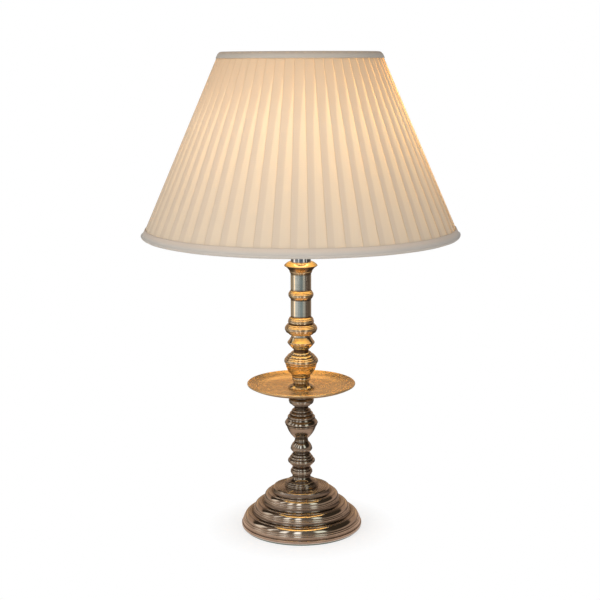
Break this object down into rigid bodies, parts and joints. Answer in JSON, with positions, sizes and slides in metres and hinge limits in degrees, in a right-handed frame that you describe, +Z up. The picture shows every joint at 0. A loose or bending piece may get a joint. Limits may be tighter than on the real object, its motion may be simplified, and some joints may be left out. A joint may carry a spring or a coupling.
{
  "type": "candlestick table lamp",
  "caption": "Table lamp with a turned candlestick column on a stepped round base, a drip pan, a bulb holder with a push-bar switch and a tilting, pleated cone shade.",
  "frame": {"origin": "centre of the baize underside, on the plane that the lamp stands on", "axes": "+Z up the column; +Y towards the cord inlet at the back, so -Y is the front that the picture shows; +X to the right seen from the front, along the switch bar and the shade's tilt pins"},
  "size_m": [0.403, 0.403, 0.613],
  "materials": {
    "silver_plate": "polished silver plate over brass, slightly aged",
    "nickel": "bright nickel plate",
    "baize": "short napped baize",
    "bush": "moulded, matte",
    "iron": "as cast",
    "zinc_steel": "zinc plated",
    "contact_brass": "bright brass",
    "porcelain": "white, unglazed",
    "switch_plastic": "moulded, satin",
    "bulb_insulation": "black glass",
    "bulb_cap": "rolled thread, bright",
    "bulb_glass": "pearl glass",
    "frame_wire": "round wire, white coated",
    "shade_cloth": "pleated cream cloth",
    "lining_cloth": "smooth ivory lining",
    "trim_cloth": "plain folded band"
  },
  "bodies": {
    "lamp": {"base_baize": "baize", "base_foot": "silver_plate", "cord_bush": "bush", "base_weight": "iron", "foot_washer": "zinc_steel", "foot_nut": "zinc_steel", "tie_tube": "zinc_steel", "lower_stem": "silver_plate", "drip_pan": "silver_plate", "upper_stem": "silver_plate", "candle_socket": "silver_plate", "holder_plug": "nickel", "lock_nut": "zinc_steel", "holder_cap": "nickel", "holder_core": "porcelain", "holder_sleeve": "nickel", "thread_shell": "contact_brass", "centre_contact": "contact_brass", "terminals": "contact_brass", "terminal_screws": "contact_brass", "shade_ring_lower": "nickel"},
    "switch": {"switch_bar": "switch_plastic", "switch_tips": "nickel", "switch_slider": "switch_plastic", "switch_plate": "contact_brass"},
    "bulb": {"bulb_tip": "contact_brass", "bulb_insulator": "bulb_insulation", "bulb_cap": "bulb_cap", "bulb_glass": "bulb_glass"},
    "retaining_ring": {"shade_ring_upper": "nickel"},
    "gimbal": {"gimbal_ring": "nickel", "gimbal_pins": "nickel"},
    "shade": {"shade_hoop": "nickel", "arm_1": "frame_wire", "arm_2": "frame_wire", "arm_3": "frame_wire", "strut_1": "frame_wire", "strut_2": "frame_wire", "strut_3": "frame_wire", "strut_4": "frame_wire", "strut_5": "frame_wire", "strut_6": "frame_wire", "top_ring": "frame_wire", "bottom_ring": "frame_wire", "shade_lining": "lining_cloth", "shade_cover": "shade_cloth", "top_trim": "trim_cloth", "bottom_trim": "trim_cloth"}
  },
  "joints": [
    {"name": "switch_slide", "type": "slide", "parent": "lamp", "child": "switch", "axis": [1, 0, 0], "range_m": [0, 0.006]},
    {"name": "bulb_screw", "type": "hinge", "parent": "lamp", "child": "bulb", "pos_m": [0, 0, 0.43], "axis": [0, 0, 1], "range_deg": [0, 1080]},
    {"name": "ring_screw", "type": "hinge", "parent": "lamp", "child": "retaining_ring", "pos_m": [0, 0, 0.4456], "axis": [0, 0, 1], "range_deg": [0, 1440]},
    {"name": "shade_swivel", "type": "hinge", "parent": "lamp", "child": "gimbal", "pos_m": [0, 0, 0.4419], "axis": [0, 0, 1], "continuous": true},
    {"name": "shade_tilt", "type": "hinge", "parent": "gimbal", "child": "shade", "pos_m": [0, 0, 0.4419], "axis": [1, 0, 0], "range_deg": [-8, 8]}
  ]
}
